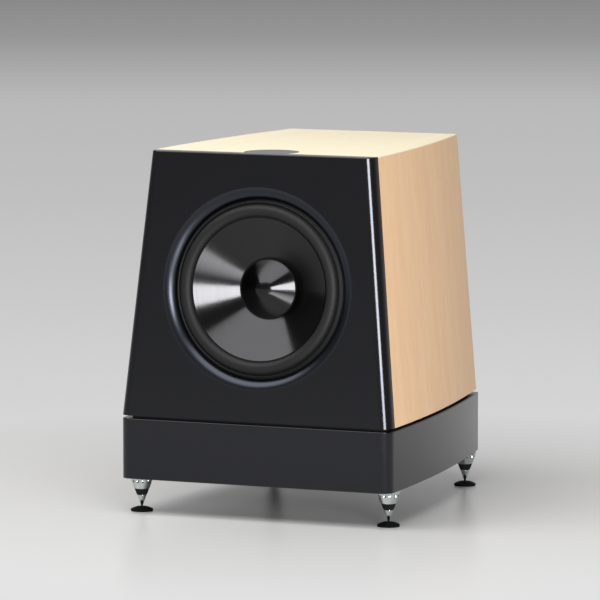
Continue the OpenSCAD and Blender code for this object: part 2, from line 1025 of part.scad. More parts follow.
module inlet_pins() {
  color([0.75, 0.75, 0.77])
    rear(inlet_p[0], inlet_p[1])
      for (p = [[-7, 1], [7, 1], [0, -3]])
        translate([p[0] - 1, p[1] - 2, -amp_t - 24])
          cube([2, 4, amp_t + 22]);
}

module switch_frame() {
  color([0.05, 0.05, 0.05])
    rear(switch_p[0], switch_p[1])
      difference() {
        union() {
          plate(18, 26, 2, 1.5);
          translate([-7, -11, -amp_t - 14])
            cube([14, 22, amp_t + 14]);
        }
        translate([-5.5, -9.6, -8])
          cube([11, 19.2, 12]);
        translate([-6.6, 0, rocker_pivot])
          rotate([0, 90, 0])
            cylinder(r = rocker_pin + gap, h = 13.2);
      }
}

module rocker() {
  color([0.08, 0.08, 0.08])
    rear(switch_p[0], switch_p[1])
      rotate([90, 0, 90])
        translate([0, rocker_pivot, 0])
          rotate([0, 0, -rocker_throw / 2]) {
            translate([0, 0, -5])
              linear_extrude(height = 10)
                polygon([[-8.5, 5.4], [0, 4.2], [8.5, 5.4], [8.2, 0], [3, -3.6], [-3, -3.6], [-8.2, 0]]);
            translate([0, 0, -6.2])
              cylinder(r = rocker_pin, h = 12.4);
          }
}

module amp_panel_screws() {
  color([0.3, 0.3, 0.31])
    for (p = amp_screws)
      rear(p[0], p[1])
        difference() {
          union() {
            translate([0, 0, -amp_t - 11])
              cylinder(r = 2, h = amp_t + 11);
            cylinder(r = 3.8, h = 2.2);
          }
          translate([0, 0, 0.8])
            cylinder(r = 1.4, h = 3, $fn = 6);
        }
}

module speaker_lead() {
  box_y = back_y - amp_t - box_d;
  bend_y = (box_y + lead_end_y) / 2;
  color([0.12, 0.12, 0.12])
    translate([lead_x, 0, 0])
      rotate([90, 0, 90]) {
        translate([bend_y, lead_z, 0])
          rotate([0, 90, 0])
            cylinder(r = lead_r, h = box_y + 6 - bend_y);
        translate([bend_y, lead_z - lead_bend, 0])
          rotate([0, 0, 90])
            rotate_extrude(angle = 90)
              translate([lead_bend, 0])
                circle(r = lead_r);
        translate([bend_y - lead_bend, lead_z - lead_bend - lead_drop, 0])
          rotate([-90, 0, 0])
            cylinder(r = lead_r, h = lead_drop);
        translate([bend_y - 2 * lead_bend, lead_z - lead_bend - lead_drop, 0])
          rotate([0, 0, -90])
            rotate_extrude(angle = 90)
              translate([lead_bend, 0])
                circle(r = lead_r);
        translate([lead_end_y, lead_end_z, 0])
          rotate([0, 90, 0])
            cylinder(r = lead_r, h = bend_y - 2 * lead_bend - lead_end_y);
      }
}

// feet

module foot_inserts() {
  color([0.75, 0.6, 0.28])
    for (p = [foot_front, foot_rear])
      for (s = [-1, 1])
        translate([s * p[0], p[1], plinth_z])
          ring(stud_r + gap, insert_r, 0, stud_len + 4);
}

module foot() {
  core = 5;
  ease = 0.8;
  difference() {
    rotate_extrude()
      polygon([
        [0, tip_z], [tip_r, tip_z], [spike_r(band_z - fit), band_z - fit], [core, band_z - fit],
        [core, cup_z], [cup_low, cup_z], [cup_r, foot_h - cup_wall], [cup_r, foot_h - ease],
        [cup_r - ease, foot_h], [stud_r, foot_h], [stud_r, foot_h + stud_len], [0, foot_h + stud_len]
      ]);
    for (i = [0 : flutes - 1])
      rotate([0, 0, i * 360 / flutes])
        flute();
  }
}

module flute() {
  low_r = cup_r - (cup_r - cup_low) * (flute_low - cup_wall) / (foot_h - cup_wall - cup_z);
  translate([low_r + flute_r, 0, foot_h - flute_low])
    rotate([0, flute_lean, 0])
      cylinder(r = flute_r, h = 2 * flute_low);
}

module band() {
  core = 5.2;
  rotate_extrude()
    polygon([
      [core, band_z], [spike_r(band_z), band_z],
      [spike_r(cup_z - fit), cup_z - fit], [core, cup_z - fit]
    ]);
}

module disc() {
  dome_r = (disc_r * disc_r + disc_dome * disc_dome) / (2 * disc_dome);
  difference() {
    intersection() {
      cylinder(r = disc_r, h = disc_top);
      translate([0, 0, disc_top - dome_r])
        sphere(r = dome_r);
    }
    translate([0, 0, disc_top - dimple])
      cylinder(r = 2.2, h = 2 * dimple);
  }
}

module at_foot(p, s) {
  translate([s * p[0], p[1], 0])
    children();
}

module foot_fl() {
  color([0.8, 0.8, 0.82])
    at_foot(foot_front, -1)
      foot();
}

module foot_fr() {
  color([0.8, 0.8, 0.82])
    at_foot(foot_front, 1)
      foot();
}

module foot_rl() {
  color([0.8, 0.8, 0.82])
    at_foot(foot_rear, -1)
      foot();
}

module foot_rr() {
  color([0.8, 0.8, 0.82])
    at_foot(foot_rear, 1)
      foot();
}

module band_fl() {
  color([0.03, 0.03, 0.03])
    at_foot(foot_front, -1)
      band();
}

module band_fr() {
  color([0.03, 0.03, 0.03])
    at_foot(foot_front, 1)
      band();
}

module band_rl() {
  color([0.03, 0.03, 0.03])
    at_foot(foot_rear, -1)
      band();
}

module band_rr() {
  color([0.03, 0.03, 0.03])
    at_foot(foot_rear, 1)
      band();
}

module disc_fl() {
  color([0.03, 0.03, 0.03])
    at_foot(foot_front, -1)
      disc();
}

module disc_fr() {
  color([0.03, 0.03, 0.03])
    at_foot(foot_front, 1)
      disc();
}

module disc_rl() {
  color([0.03, 0.03, 0.03])
    at_foot(foot_rear, -1)
      disc();
}

module disc_rr() {
  color([0.03, 0.03, 0.03])
    at_foot(foot_rear, 1)
      disc();
}

plinth();
gap_spacer();
hold_down_bolts();
bottom_panel();
side_panel_left();
side_panel_right();
top_panel();
rear_panel();
sub_baffle();
ring_brace();
front_baffle();
veneer_left();
veneer_right();
veneer_top();
top_inlay();
basket();
driver_gasket();
driver_screws();
driver_terminals();
top_plate();
magnet();
yoke();
surround();
seal_ring();
spider();
cone();
dust_cap();
coil_former();
voice_coil();
amp_panel();
heat_sink();
amp_box();
amp_board();
board_pillars();
board_parts();
transformer();
transformer_clamp();
line_sockets();
mains_inlet();
inlet_pins();
switch_frame();
rocker();
amp_panel_screws();
level_knob();
crossover_knob();
phase_knob();
speaker_lead();
foot_inserts();
foot_fl();
foot_fr();
foot_rl();
foot_rr();
band_fl();
band_fr();
band_rl();
band_rr();
disc_fl();
disc_fr();
disc_rl();
disc_rr();
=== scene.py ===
"""Looks of an active subwoofer: bowed veneered cabinet, leaning black baffle, plinth and spike feet."""
import json
import math

import bmesh
import bpy
from mathutils import Matrix, Vector


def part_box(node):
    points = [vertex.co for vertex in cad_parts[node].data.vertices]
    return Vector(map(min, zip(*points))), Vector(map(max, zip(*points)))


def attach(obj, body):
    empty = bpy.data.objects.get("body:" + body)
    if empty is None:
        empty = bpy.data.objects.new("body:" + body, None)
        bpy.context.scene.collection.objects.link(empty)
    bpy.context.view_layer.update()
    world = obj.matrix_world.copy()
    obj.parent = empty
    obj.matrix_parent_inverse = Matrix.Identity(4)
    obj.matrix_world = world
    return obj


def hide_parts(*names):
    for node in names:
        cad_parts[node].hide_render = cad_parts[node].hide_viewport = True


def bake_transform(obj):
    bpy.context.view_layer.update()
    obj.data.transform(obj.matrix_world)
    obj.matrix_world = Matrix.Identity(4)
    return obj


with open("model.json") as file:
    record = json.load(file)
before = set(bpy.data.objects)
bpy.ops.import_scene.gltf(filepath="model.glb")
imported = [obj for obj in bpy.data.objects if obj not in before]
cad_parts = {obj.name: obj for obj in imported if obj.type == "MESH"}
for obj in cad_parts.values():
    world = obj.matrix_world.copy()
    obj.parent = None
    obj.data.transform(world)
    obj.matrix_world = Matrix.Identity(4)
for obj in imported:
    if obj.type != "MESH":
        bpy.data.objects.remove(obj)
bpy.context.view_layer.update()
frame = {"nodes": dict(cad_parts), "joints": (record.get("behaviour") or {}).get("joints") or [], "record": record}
bpy.ops.object.select_all(action="DESELECT")

# Plinth: a block of fibreboard with bowed sides that carries the cabinet on four feet.
# It is sprayed with black lacquer, polished, and eased along its edges with fine paper.
mm = 0.001


def linear(code):
    """Linear RGBA of an sRGB hex colour."""
    channels = [int(code[i:i + 2], 16) / 255 for i in (1, 3, 5)]
    return [c / 12.92 if c <= 0.04045 else ((c + 0.055) / 1.055) ** 2.4 for c in channels] + [1.0]


def add(tree, kind, inputs=None, **settings):
    """Adds a node, with its own settings and with its inputs set or linked by name or number.

    On a Mix node, input 0 is the share, 2 and 3 are numbers, 6 and 7 are colours, and output 2 is the colour.
    """
    node = tree.nodes.new(kind)
    for name, value in settings.items():
        setattr(node, name, value)
    for name, value in (inputs or {}).items():
        if isinstance(value, bpy.types.NodeSocket):
            tree.links.new(value, node.inputs[name])
        else:
            node.inputs[name].default_value = value
    return node


def new_finish(name, **sockets):
    """A material named for the real one: its tree, its shader and the piece's own coordinates."""
    material = bpy.data.materials.new(name)
    material.use_nodes = True
    tree = material.node_tree
    shader = tree.nodes["Principled BSDF"]
    for socket, value in sockets.items():
        shader.inputs[socket.replace("_", " ")].default_value = value
    place = add(tree, "ShaderNodeTexCoord").outputs["Object"]
    return material, tree, shader, place


def dress(material, *names):
    """Gives CAD nodes their finish."""
    for name in names:
        frame["nodes"][name].material_slots[0].material = material


def black_lacquer(name):
    """Polished black polyester lacquer: near black in depth, clear cool reflections, a faint orange peel."""
    peel, cloudiness = 5 * mm, 70 * mm
    material, tree, shader, place = new_finish(
        name, Base_Color=linear("#0c0c0d"), Specular_IOR_Level=0.45, Specular_Tint=linear("#f0f2ff")
    )
    ripple = add(tree, "ShaderNodeTexNoise", {"Vector": place, "Scale": 1 / peel, "Detail": 1.0})
    haze = add(tree, "ShaderNodeTexNoise", {"Vector": place, "Scale": 1 / cloudiness, "Detail": 3.0})
    gloss = add(tree, "ShaderNodeMapRange", {"Value": haze.outputs["Fac"], "To Min": 0.13, "To Max": 0.19})
    relief = add(tree, "ShaderNodeBump",
                 {"Height": ripple.outputs["Fac"], "Strength": 0.02, "Distance": 0.1 * mm})
    tree.links.new(gloss.outputs["Result"], shader.inputs["Roughness"])
    tree.links.new(relief.outputs["Normal"], shader.inputs["Normal"])
    return material, tree, shader, place


lacquer = black_lacquer("polished_black_lacquer")[0]
plinth_low, plinth_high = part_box("plinth")
half_width = 200.5 * mm
corner_radius = 15 * mm
eased_edge = 1.6 * mm
bow_radius = 2400 * mm
bow_cuts, corner_steps, eased_steps, hole_sides = 23, 12, 4, 48
# for picking edges: closer than a hair counts as touching, and only the block's main edges are long
hair, long_edge = 0.01 * mm, 50 * mm
# the woofer's axis leans back with the baffle
lean = math.asin(next(j["axis"][2] for j in frame["joints"] if j["name"] == "cone_travel"))
baffle_thickness = 20 * mm
widest_y = plinth_low.y + baffle_thickness / math.cos(lean)


def plan_half(y):
    """Half width of the bowed plan at a depth."""
    return half_width - bow_radius + math.sqrt(bow_radius ** 2 - (y - widest_y) ** 2)


def pick_edges(piece, test):
    """Selects the edges of a piece in edit mode that pass a test, and only those."""
    bpy.ops.mesh.select_mode(type="EDGE")
    bpy.ops.mesh.select_all(action="DESELECT")
    shape = bmesh.from_edit_mesh(piece.data)
    for edge in shape.edges:
        edge.select_set(test(edge))
    shape.select_flush_mode()
    bmesh.update_edit_mesh(piece.data)


def take_up(piece):
    """Makes a piece the only one that the next operators act on."""
    bpy.ops.object.select_all(action="DESELECT")
    piece.select_set(True)
    bpy.context.view_layer.objects.active = piece


def apply_all(piece):
    """Applies every modifier of a piece, in order."""
    take_up(piece)
    for modifier in list(piece.modifiers):
        bpy.ops.object.modifier_apply(modifier=modifier.name)


def cut(piece, cutter):
    """Takes a cutter out of a piece and removes the cutter."""
    boolean = piece.modifiers.new("cut", "BOOLEAN")
    boolean.object = cutter
    boolean.solver = "EXACT"
    apply_all(piece)
    bpy.data.objects.remove(cutter)


def smooth(piece, degrees=32):
    """Smooth shading over rounded edges that keeps the broad faces flat."""
    take_up(piece)
    bpy.ops.object.shade_smooth_by_angle(angle=math.radians(degrees))
    weights = piece.modifiers.new("flat_faces", "WEIGHTED_NORMAL")
    weights.keep_sharp = True
    apply_all(piece)


def mount(piece, material, body, slot, *nodes):
    """Finishes a new piece: its material, the body that it rides on, and the CAD nodes that it stands for."""
    piece.data.materials.clear()
    piece.data.materials.append(material)
    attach(piece, body)
    if nodes:
        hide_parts(*nodes)


def is_level_rim(edge, z):
    """True for an edge at a height where a level face meets an upright one."""
    steep = [abs(face.normal.z) < 0.5 for face in edge.link_faces]
    return all(abs(v.co.z - z) < hair for v in edge.verts) and any(steep) and not all(steep)


bpy.ops.mesh.primitive_cube_add(
    size=1,
    location=(plinth_low + plinth_high) / 2,
    scale=(2 * half_width, plinth_high.y - plinth_low.y, plinth_high.z - plinth_low.z),
)
bpy.ops.object.transform_apply(location=True, rotation=True, scale=True)
plinth = bpy.context.object
plinth.name = "plinth_block"
bpy.ops.object.mode_set(mode="EDIT")
pick_edges(plinth, lambda e: abs(e.verts[0].co.y - e.verts[1].co.y) > long_edge)
bpy.ops.mesh.subdivide(number_cuts=bow_cuts)
for vert in bmesh.from_edit_mesh(plinth.data).verts:
    vert.co.x = math.copysign(plan_half(vert.co.y), vert.co.x)
bmesh.update_edit_mesh(plinth.data)
front_y = plinth_low.y
pick_edges(plinth, lambda e: all(abs(v.co.y - front_y) < hair for v in e.verts)
           and abs(e.verts[0].co.z - e.verts[1].co.z) > long_edge)
bpy.ops.mesh.bevel(offset=corner_radius, segments=corner_steps, affect="EDGES")
pick_edges(plinth, lambda e: is_level_rim(e, plinth_high.z))
bpy.ops.mesh.bevel(offset=eased_edge, segments=eased_steps, affect="EDGES")
bpy.ops.object.mode_set(mode="OBJECT")
insert_low, insert_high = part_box("foot_inserts")
insert_radius = 6.5 * mm
corners = ("fl", "fr", "rl", "rr")
foot_places = {corner: sum(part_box("disc_" + corner), Vector()) / 2 for corner in corners}
for place in foot_places.values():
    bpy.ops.mesh.primitive_cylinder_add(
        vertices=hole_sides,
        radius=insert_radius,
        depth=2 * (insert_high.z - insert_low.z),
        location=(place.x, place.y, insert_low.z),
    )
    cut(plinth, bpy.context.object)
bolt_low, bolt_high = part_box("hold_down_bolts")
bolt_head = 6.4 * mm
counterbore = 8 * mm
counterbore_depth = (plinth_high.z - plinth_low.z) / 2
for x in (bolt_low.x + bolt_head, bolt_high.x - bolt_head):
    for y in (bolt_low.y + bolt_head, bolt_high.y - bolt_head):
        bpy.ops.mesh.primitive_cylinder_add(
            vertices=hole_sides,
            radius=counterbore,
            depth=2 * counterbore_depth,
            location=(x, y, plinth_low.z),
        )
        cut(plinth, bpy.context.object)
smooth(plinth)
mount(plinth, lacquer, "cabinet", "black_lacquer", "plinth")


# Small fittings in the plinth: brass inserts that take the feet's studs, and steel bolts up into the cabinet.
# The inserts are turned and pressed in; the bolts are blackened and sit in counterbores.
def mottled(name, dark, light, grain, rough, metallic=0.0, depth=0.0, stretch=(1, 1, 1), shine=0.5):
    """A plain finish with its fine grain: two tones, uneven gloss and, where it has one, a relief."""
    unevenness = 0.06
    material, tree, shader, place = new_finish(name, Metallic=metallic, Specular_IOR_Level=shine)
    turned = add(tree, "ShaderNodeMapping", {"Vector": place, "Scale": stretch})
    fleck = add(tree, "ShaderNodeTexNoise",
                {"Vector": turned.outputs["Vector"], "Scale": 1 / grain, "Detail": 4.0, "Roughness": 0.6})
    tone = add(tree, "ShaderNodeMix",
               {0: fleck.outputs["Fac"], 6: linear(dark), 7: linear(light)}, data_type="RGBA")
    gloss = add(
        tree,
        "ShaderNodeMapRange",
        {"Value": fleck.outputs["Fac"], "To Min": rough - unevenness, "To Max": rough + unevenness},
    )
    tree.links.new(tone.outputs[2], shader.inputs["Base Color"])
    tree.links.new(gloss.outputs["Result"], shader.inputs["Roughness"])
    if depth:
        relief = add(tree, "ShaderNodeBump",
                     {"Height": fleck.outputs["Fac"], "Strength": 0.5, "Distance": depth})
        tree.links.new(relief.outputs["Normal"], shader.inputs["Normal"])
    return material


# turned brass: warm, with an even satin
turned_brass = mottled("turned_brass", "#b08d45", "#cfae66", 2 * mm, 0.28, metallic=1.0)
# blackened steel: dull grey-black with a soft oil sheen
blackened_steel = mottled("blackened_steel", "#3a3a3d", "#515156", 1.5 * mm, 0.38, metallic=1.0)
dress(turned_brass, "foot_inserts", "board_pillars")
dress(blackened_steel, "hold_down_bolts", "driver_screws", "amp_panel_screws")

# Shadow-gap spacer: a thin board set back all round, so that the cabinet floats over the plinth.
# It is fibreboard painted matt black, glued to the plinth's top.
# matt paint: even soot black with a dusty nap and no clear reflections
matt_paint = mottled("matt_black_paint", "#101011", "#1b1b1c", 1.2 * mm, 0.72, depth=0.05 * mm)
dress(matt_paint, "gap_spacer")

# Carcass: bottom, sides, top, back, sub-baffle and ring brace, all of fibreboard, glued and clamped.
# Only the back shows; it is painted matt black like the spacer.
# raw fibreboard: a warm brown felt of fine fibres, quite dull
raw_board = mottled("raw_fibreboard", "#8d7355", "#a98d6c", 1.0 * mm, 0.85, depth=0.08 * mm)
dress(raw_board, "bottom_panel", "side_panel_left", "side_panel_right")
dress(raw_board, "top_panel", "sub_baffle", "ring_brace")
dress(matt_paint, "rear_panel")


# Veneer on the sides and top: pale straight-grained maple leaves, a millimetre thick, pressed on the carcass.
# They are sanded along the grain and sealed with a satin clear lacquer.
def maple(name, along, dark, light, late, pit):
    """Satin lacquered maple: a pale honey ground, faint long streaks, tiny pores and a soft sheen."""
    # width, length and detail; real pores are about 0.1 mm wide and are drawn coarser so that they show
    band, streak, pore = (26 * mm, 900 * mm, 2.0), (4 * mm, 320 * mm, 3.0), (0.9 * mm, 14 * mm, 1.0)
    material, tree, shader, place = new_finish(name, IOR=1.46)
    patterns = []
    for width, length, detail in (band, streak, pore):
        scale = [1 / length if axis == along else 1 / width for axis in range(3)]
        turned = add(tree, "ShaderNodeMapping", {"Vector": place, "Scale": scale}).outputs["Vector"]
        noise = add(tree, "ShaderNodeTexNoise", {"Vector": turned, "Scale": 1.0, "Detail": detail})
        patterns.append(noise.outputs["Fac"])
    bands, streaks, pores = patterns
    ground = add(tree, "ShaderNodeMix",
                 {0: bands, 6: linear(dark), 7: linear(light)}, data_type="RGBA")
    line = add(tree, "ShaderNodeMapRange",
               {"Value": streaks, "From Min": 0.35, "From Max": 0.7, "To Min": 0.0, "To Max": 0.3})
    streaked = add(tree, "ShaderNodeMix",
                   {0: line.outputs["Result"], 6: ground.outputs[2], 7: linear(late)}, data_type="RGBA")
    prick = add(tree, "ShaderNodeMapRange",
                {"Value": pores, "From Min": 0.66, "From Max": 0.76, "To Min": 0.0, "To Max": 0.35})
    pored = add(tree, "ShaderNodeMix",
                {0: prick.outputs["Result"], 6: streaked.outputs[2], 7: linear(pit)}, data_type="RGBA")
    sheen = add(tree, "ShaderNodeMapRange", {"Value": streaks, "To Min": 0.37, "To Max": 0.47})
    relief = add(tree, "ShaderNodeBump", {"Height": pores, "Strength": 0.12, "Distance": 0.05 * mm})
    tree.links.new(pored.outputs[2], shader.inputs["Base Color"])
    tree.links.new(sheen.outputs["Result"], shader.inputs["Roughness"])
    tree.links.new(relief.outputs["Normal"], shader.inputs["Normal"])
    return material


DEPTH, UP = 1, 2
side_maple = maple("maple_veneer_upright", UP, "#dfb38c", "#ebc99f", "#d5a97c", "#ba8e62")
# the leaf on the top is drawn paler than the sides: painted light, for the strong light that falls on it from
# above
painted_lit_top_maple = maple("maple_veneer_lengthwise", DEPTH, "#ebdebd", "#f3eacf", "#e2d1ac", "#cebb92")
dress(side_maple, "veneer_left", "veneer_right")
dress(painted_lit_top_maple, "veneer_top")

# Front baffle: a thick leaning board that tapers with the sides, glued over the sub-baffle.
# The mouth for the woofer is routed with a wide round-over, and the whole is lacquered like the plinth.
baffle_low, baffle_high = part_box("front_baffle")
baffle_height = baffle_high.z - baffle_low.z
top_half_width = 165 * mm
side_slope = (half_width - top_half_width) / (baffle_height / math.cos(lean))
mouth_edge, mouth_round, mouth_depth = 140 * mm, 19 * mm, 10 * mm
lip_angle = math.asin(1 - mouth_depth / mouth_round)
mouth_radius = mouth_edge - mouth_round * math.cos(lip_angle)
top_edge = 1.5 * mm
mouth_drop = 1.5 * mm
mouth_rise = baffle_height / math.cos(lean) / 2 - mouth_drop
mouth_centre = Vector(
    (0, baffle_low.y + mouth_rise * math.sin(lean), baffle_low.z + mouth_rise * math.cos(lean))
)
woofer_frame = Matrix.Translation(mouth_centre) @ Matrix.Rotation(math.pi / 2 - lean, 4, "X")


def baffle_corner(vert):
    """Where a corner of the upright blank goes on the leaning, tapering board."""
    rise = vert.co.z - baffle_low.z
    back = rise * math.tan(lean) + (baffle_thickness / math.cos(lean) if vert.co.y > 0 else 0)
    along = rise * math.cos(lean) + back * math.sin(lean)
    return Vector((math.copysign(half_width - along * side_slope, vert.co.x), baffle_low.y + back, vert.co.z))


def lathe(name, profile, sides):
    """Turns (radius, height) points round Z, ring by ring from one end to the other, and closes the ends."""
    bpy.ops.object.select_all(action="DESELECT")
    radius, height = profile[0]
    bpy.ops.mesh.primitive_circle_add(vertices=sides, radius=radius, location=(0, 0, height))
    bpy.ops.object.transform_apply(location=True, rotation=True, scale=True)
    piece = bpy.context.object
    piece.name = name
    bpy.ops.object.mode_set(mode="EDIT")
    bpy.ops.mesh.select_all(action="SELECT")
    for (radius, height), (next_radius, next_height) in zip(profile, profile[1:]):
        bpy.ops.mesh.extrude_region_move(TRANSFORM_OT_translate={"value": (0, 0, next_height - height)})
        grow = next_radius / radius
        bpy.ops.transform.resize(value=(grow, grow, 1), center_override=(0, 0, next_height))
    pick_edges(piece, lambda e: len(e.link_faces) == 1)
    bpy.ops.mesh.fill_holes(sides=0)
    bpy.ops.mesh.select_all(action="SELECT")
    bpy.ops.mesh.normals_make_consistent(inside=False)
    bpy.ops.object.mode_set(mode="OBJECT")
    return piece


bpy.ops.mesh.primitive_cube_add(
    size=1,
    location=(0, 0, (baffle_low.z + baffle_high.z) / 2),
    scale=(2 * half_width, baffle_thickness, baffle_height),
)
bpy.ops.object.transform_apply(location=True, rotation=True, scale=True)
baffle = bpy.context.object
baffle.name = "baffle_board"
bpy.ops.object.mode_set(mode="EDIT")
for vert in bmesh.from_edit_mesh(baffle.data).verts:
    vert.co = baffle_corner(vert)
bmesh.update_edit_mesh(baffle.data)
front_top_y = baffle_low.y + baffle_height * math.tan(lean)
pick_edges(baffle, lambda e: abs(e.verts[0].co.z - e.verts[1].co.z) > long_edge
           and max(v.co.y for v in e.verts) < front_top_y + mm)
bpy.ops.mesh.bevel(offset=corner_radius, segments=corner_steps, affect="EDGES")
pick_edges(baffle, lambda e: is_level_rim(e, baffle_high.z)
           and max(v.co.y for v in e.verts) < front_top_y + corner_radius + mm)
bpy.ops.mesh.bevel(offset=top_edge, segments=eased_steps, affect="EDGES")
bpy.ops.object.mode_set(mode="OBJECT")
round_steps = 14
round_angles = [lip_angle + (math.pi / 2 - lip_angle) * i / round_steps for i in range(round_steps + 1)]
round_over = [
    (mouth_edge - mouth_round * math.cos(a), mouth_round * (math.sin(a) - 1)) for a in round_angles
]
# behind the mouth's lip the board is bored out for the woofer's flange
flange_room, seat_height = 136 * mm, -11 * mm
cutter_back, cutter_front, mouth_sides = -40 * mm, 5 * mm, 192
cutter = lathe(
    "mouth_cutter",
    [(flange_room, cutter_back), (flange_room, seat_height), (mouth_radius, seat_height)]
    + round_over + [(mouth_edge, cutter_front)],
    mouth_sides,
)
cutter.data.transform(woofer_frame)
cut(baffle, cutter)
inlay_low, inlay_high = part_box("top_inlay")
inlay_centre = (inlay_low + inlay_high) / 2
inlay_radius = (inlay_high.x - inlay_low.x) / 2
inlay_fit, inlay_sides = 0.2 * mm, 128
bpy.ops.mesh.primitive_cylinder_add(
    vertices=inlay_sides,
    radius=inlay_radius + inlay_fit,
    depth=2 * (inlay_high.z - inlay_low.z),
    location=(0, inlay_centre.y, inlay_high.z),
)
cut(baffle, bpy.context.object)
# the level top edge is parted from the board, so that the lamps of the front leave no glare in it from behind
strip_thickness = 0.3 * mm
parting = baffle_high.z - strip_thickness
top_strip = bpy.data.objects.new("baffle_top_edge", baffle.data.copy())
bpy.context.scene.collection.objects.link(top_strip)
for piece, above in ((baffle, False), (top_strip, True)):
    take_up(piece)
    bpy.ops.object.mode_set(mode="EDIT")
    bpy.ops.mesh.select_all(action="SELECT")
    bpy.ops.mesh.bisect(
        plane_co=(0, 0, parting), plane_no=(0, 0, 1), use_fill=True, clear_inner=above, clear_outer=not above
    )
    bpy.ops.mesh.select_all(action="SELECT")
    bpy.ops.mesh.normals_make_consistent(inside=False)
    bpy.ops.object.mode_set(mode="OBJECT")
    smooth(piece)


def axis_radius(tree, place):
    """Distance of a point from the woofer's axis, for patterns that run round it, and its place there."""
    turned = add(tree, "ShaderNodeMapping",
                 {"Vector": place, "Location": woofer_frame.translation, "Rotation": woofer_frame.to_euler()},
                 vector_type="TEXTURE").outputs["Vector"]
    flat = add(tree, "ShaderNodeVectorMath", {0: turned, 1: (1, 1, 0)}, operation="MULTIPLY")
    radius = add(tree, "ShaderNodeVectorMath", {0: flat.outputs["Vector"]}, operation="LENGTH")
    return radius.outputs["Value"], turned


# the routed mouth is shaded off into a satin grey metallic, which draws a cool light along the round-over
mouth_satin, mouth_tone = 0.29, "#34363c"
shading_off = 5 * mm
baffle_lacquer, tree, shader, place = black_lacquer("black_lacquer_satin_mouth")
polished = shader.inputs["Roughness"].links[0].from_socket
ground = shader.inputs["Base Color"].default_value[:]
mouth_share = add(tree, "ShaderNodeMapRange",
                  {"Value": axis_radius(tree, place)[0], "From Min": mouth_edge + mm,
                   "From Max": mouth_edge - shading_off}, interpolation_type="SMOOTHSTEP").outputs["Result"]
gloss = add(tree, "ShaderNodeMix", {0: mouth_share, 2: polished, 3: mouth_satin})
tone = add(tree, "ShaderNodeMix", {0: mouth_share, 6: ground, 7: linear(mouth_tone)}, data_type="RGBA")
tree.links.new(gloss.outputs[0], shader.inputs["Roughness"])
tree.links.new(tone.outputs[2], shader.inputs["Base Color"])
tree.links.new(mouth_share, shader.inputs["Metallic"])
mount(baffle, baffle_lacquer, "cabinet", "black_lacquer", "front_baffle")
mount(top_strip, baffle_lacquer, "cabinet", "black_lacquer")

# Top inlay: a black disc let in flush across the joint of baffle and top.
# It is turned from board and lacquered with the baffle.
dress(lacquer, "top_inlay")

# Woofer chassis: a spoked casting with its flange screwed to the sub-baffle over a foam gasket.
# The casting is powder coated, and a moulded block on it carries two tinned tabs.
# powder coat: fine even pimples that break up the light
powder_coat = mottled("black_powder_coat", "#1d1d1f", "#2b2b2d", 0.8 * mm, 0.55, depth=0.06 * mm)
# closed-cell foam: dead black with a fine skin
gasket_foam = mottled("closed_cell_foam", "#0c0c0c", "#181818", 0.7 * mm, 0.88, depth=0.1 * mm)
# tinned brass: pale yellow metal with a soft shine
tinned_brass = mottled("tinned_brass", "#a99355", "#c7b27a", 1.5 * mm, 0.34, metallic=1.0)
dress(powder_coat, "basket")
dress(gasket_foam, "driver_gasket", "seal_ring")
dress(tinned_brass, "driver_terminals")

# Motor: ferrite ring between steel plates, with the pole and its vent in one piece with the back plate.
# The steel is turned and zinc plated, and the ferrite is fired and ground.
# zinc plate: cool grey metal, slightly cloudy
zinc_plate = mottled("zinc_plated_steel", "#9a9ca0", "#b9bbbe", 3 * mm, 0.32, metallic=1.0)
# ground ferrite: dark slate grey, dull like stone
ground_ferrite = mottled("ground_ferrite", "#2c2c2e", "#3b3b3d", 1.2 * mm, 0.6, depth=0.04 * mm)
dress(zinc_plate, "top_plate", "yoke", "transformer_clamp", "inlet_pins")
dress(ground_ferrite, "magnet")

# Suspension and coil: a corrugated cloth spider, and copper wire wound on a thin aluminium former.
# The cloth is dipped in resin and pressed hot; the wire is enamelled and bonded.
# resin-dipped cloth: a stiff amber weave, dull; its threads are drawn coarser than the real 0.4 mm, to show
dipped_cloth = mottled("resin_dipped_cloth", "#a07b3c", "#c09a56", 0.9 * mm, 0.75, depth=0.12 * mm)
# rolled aluminium: light warm grey metal with a soft grain
rolled_sheet = mottled("rolled_aluminium", "#a7a29a", "#c4c0b8", 2 * mm, 0.35, metallic=1.0)
# enamelled copper: glossy red-brown turns
enamelled_wire = mottled("enamelled_copper", "#9c5526", "#c77a3e", 0.6 * mm, 0.3, metallic=1.0)
dress(rolled_sheet, "coil_former")
dress(enamelled_wire, "voice_coil")


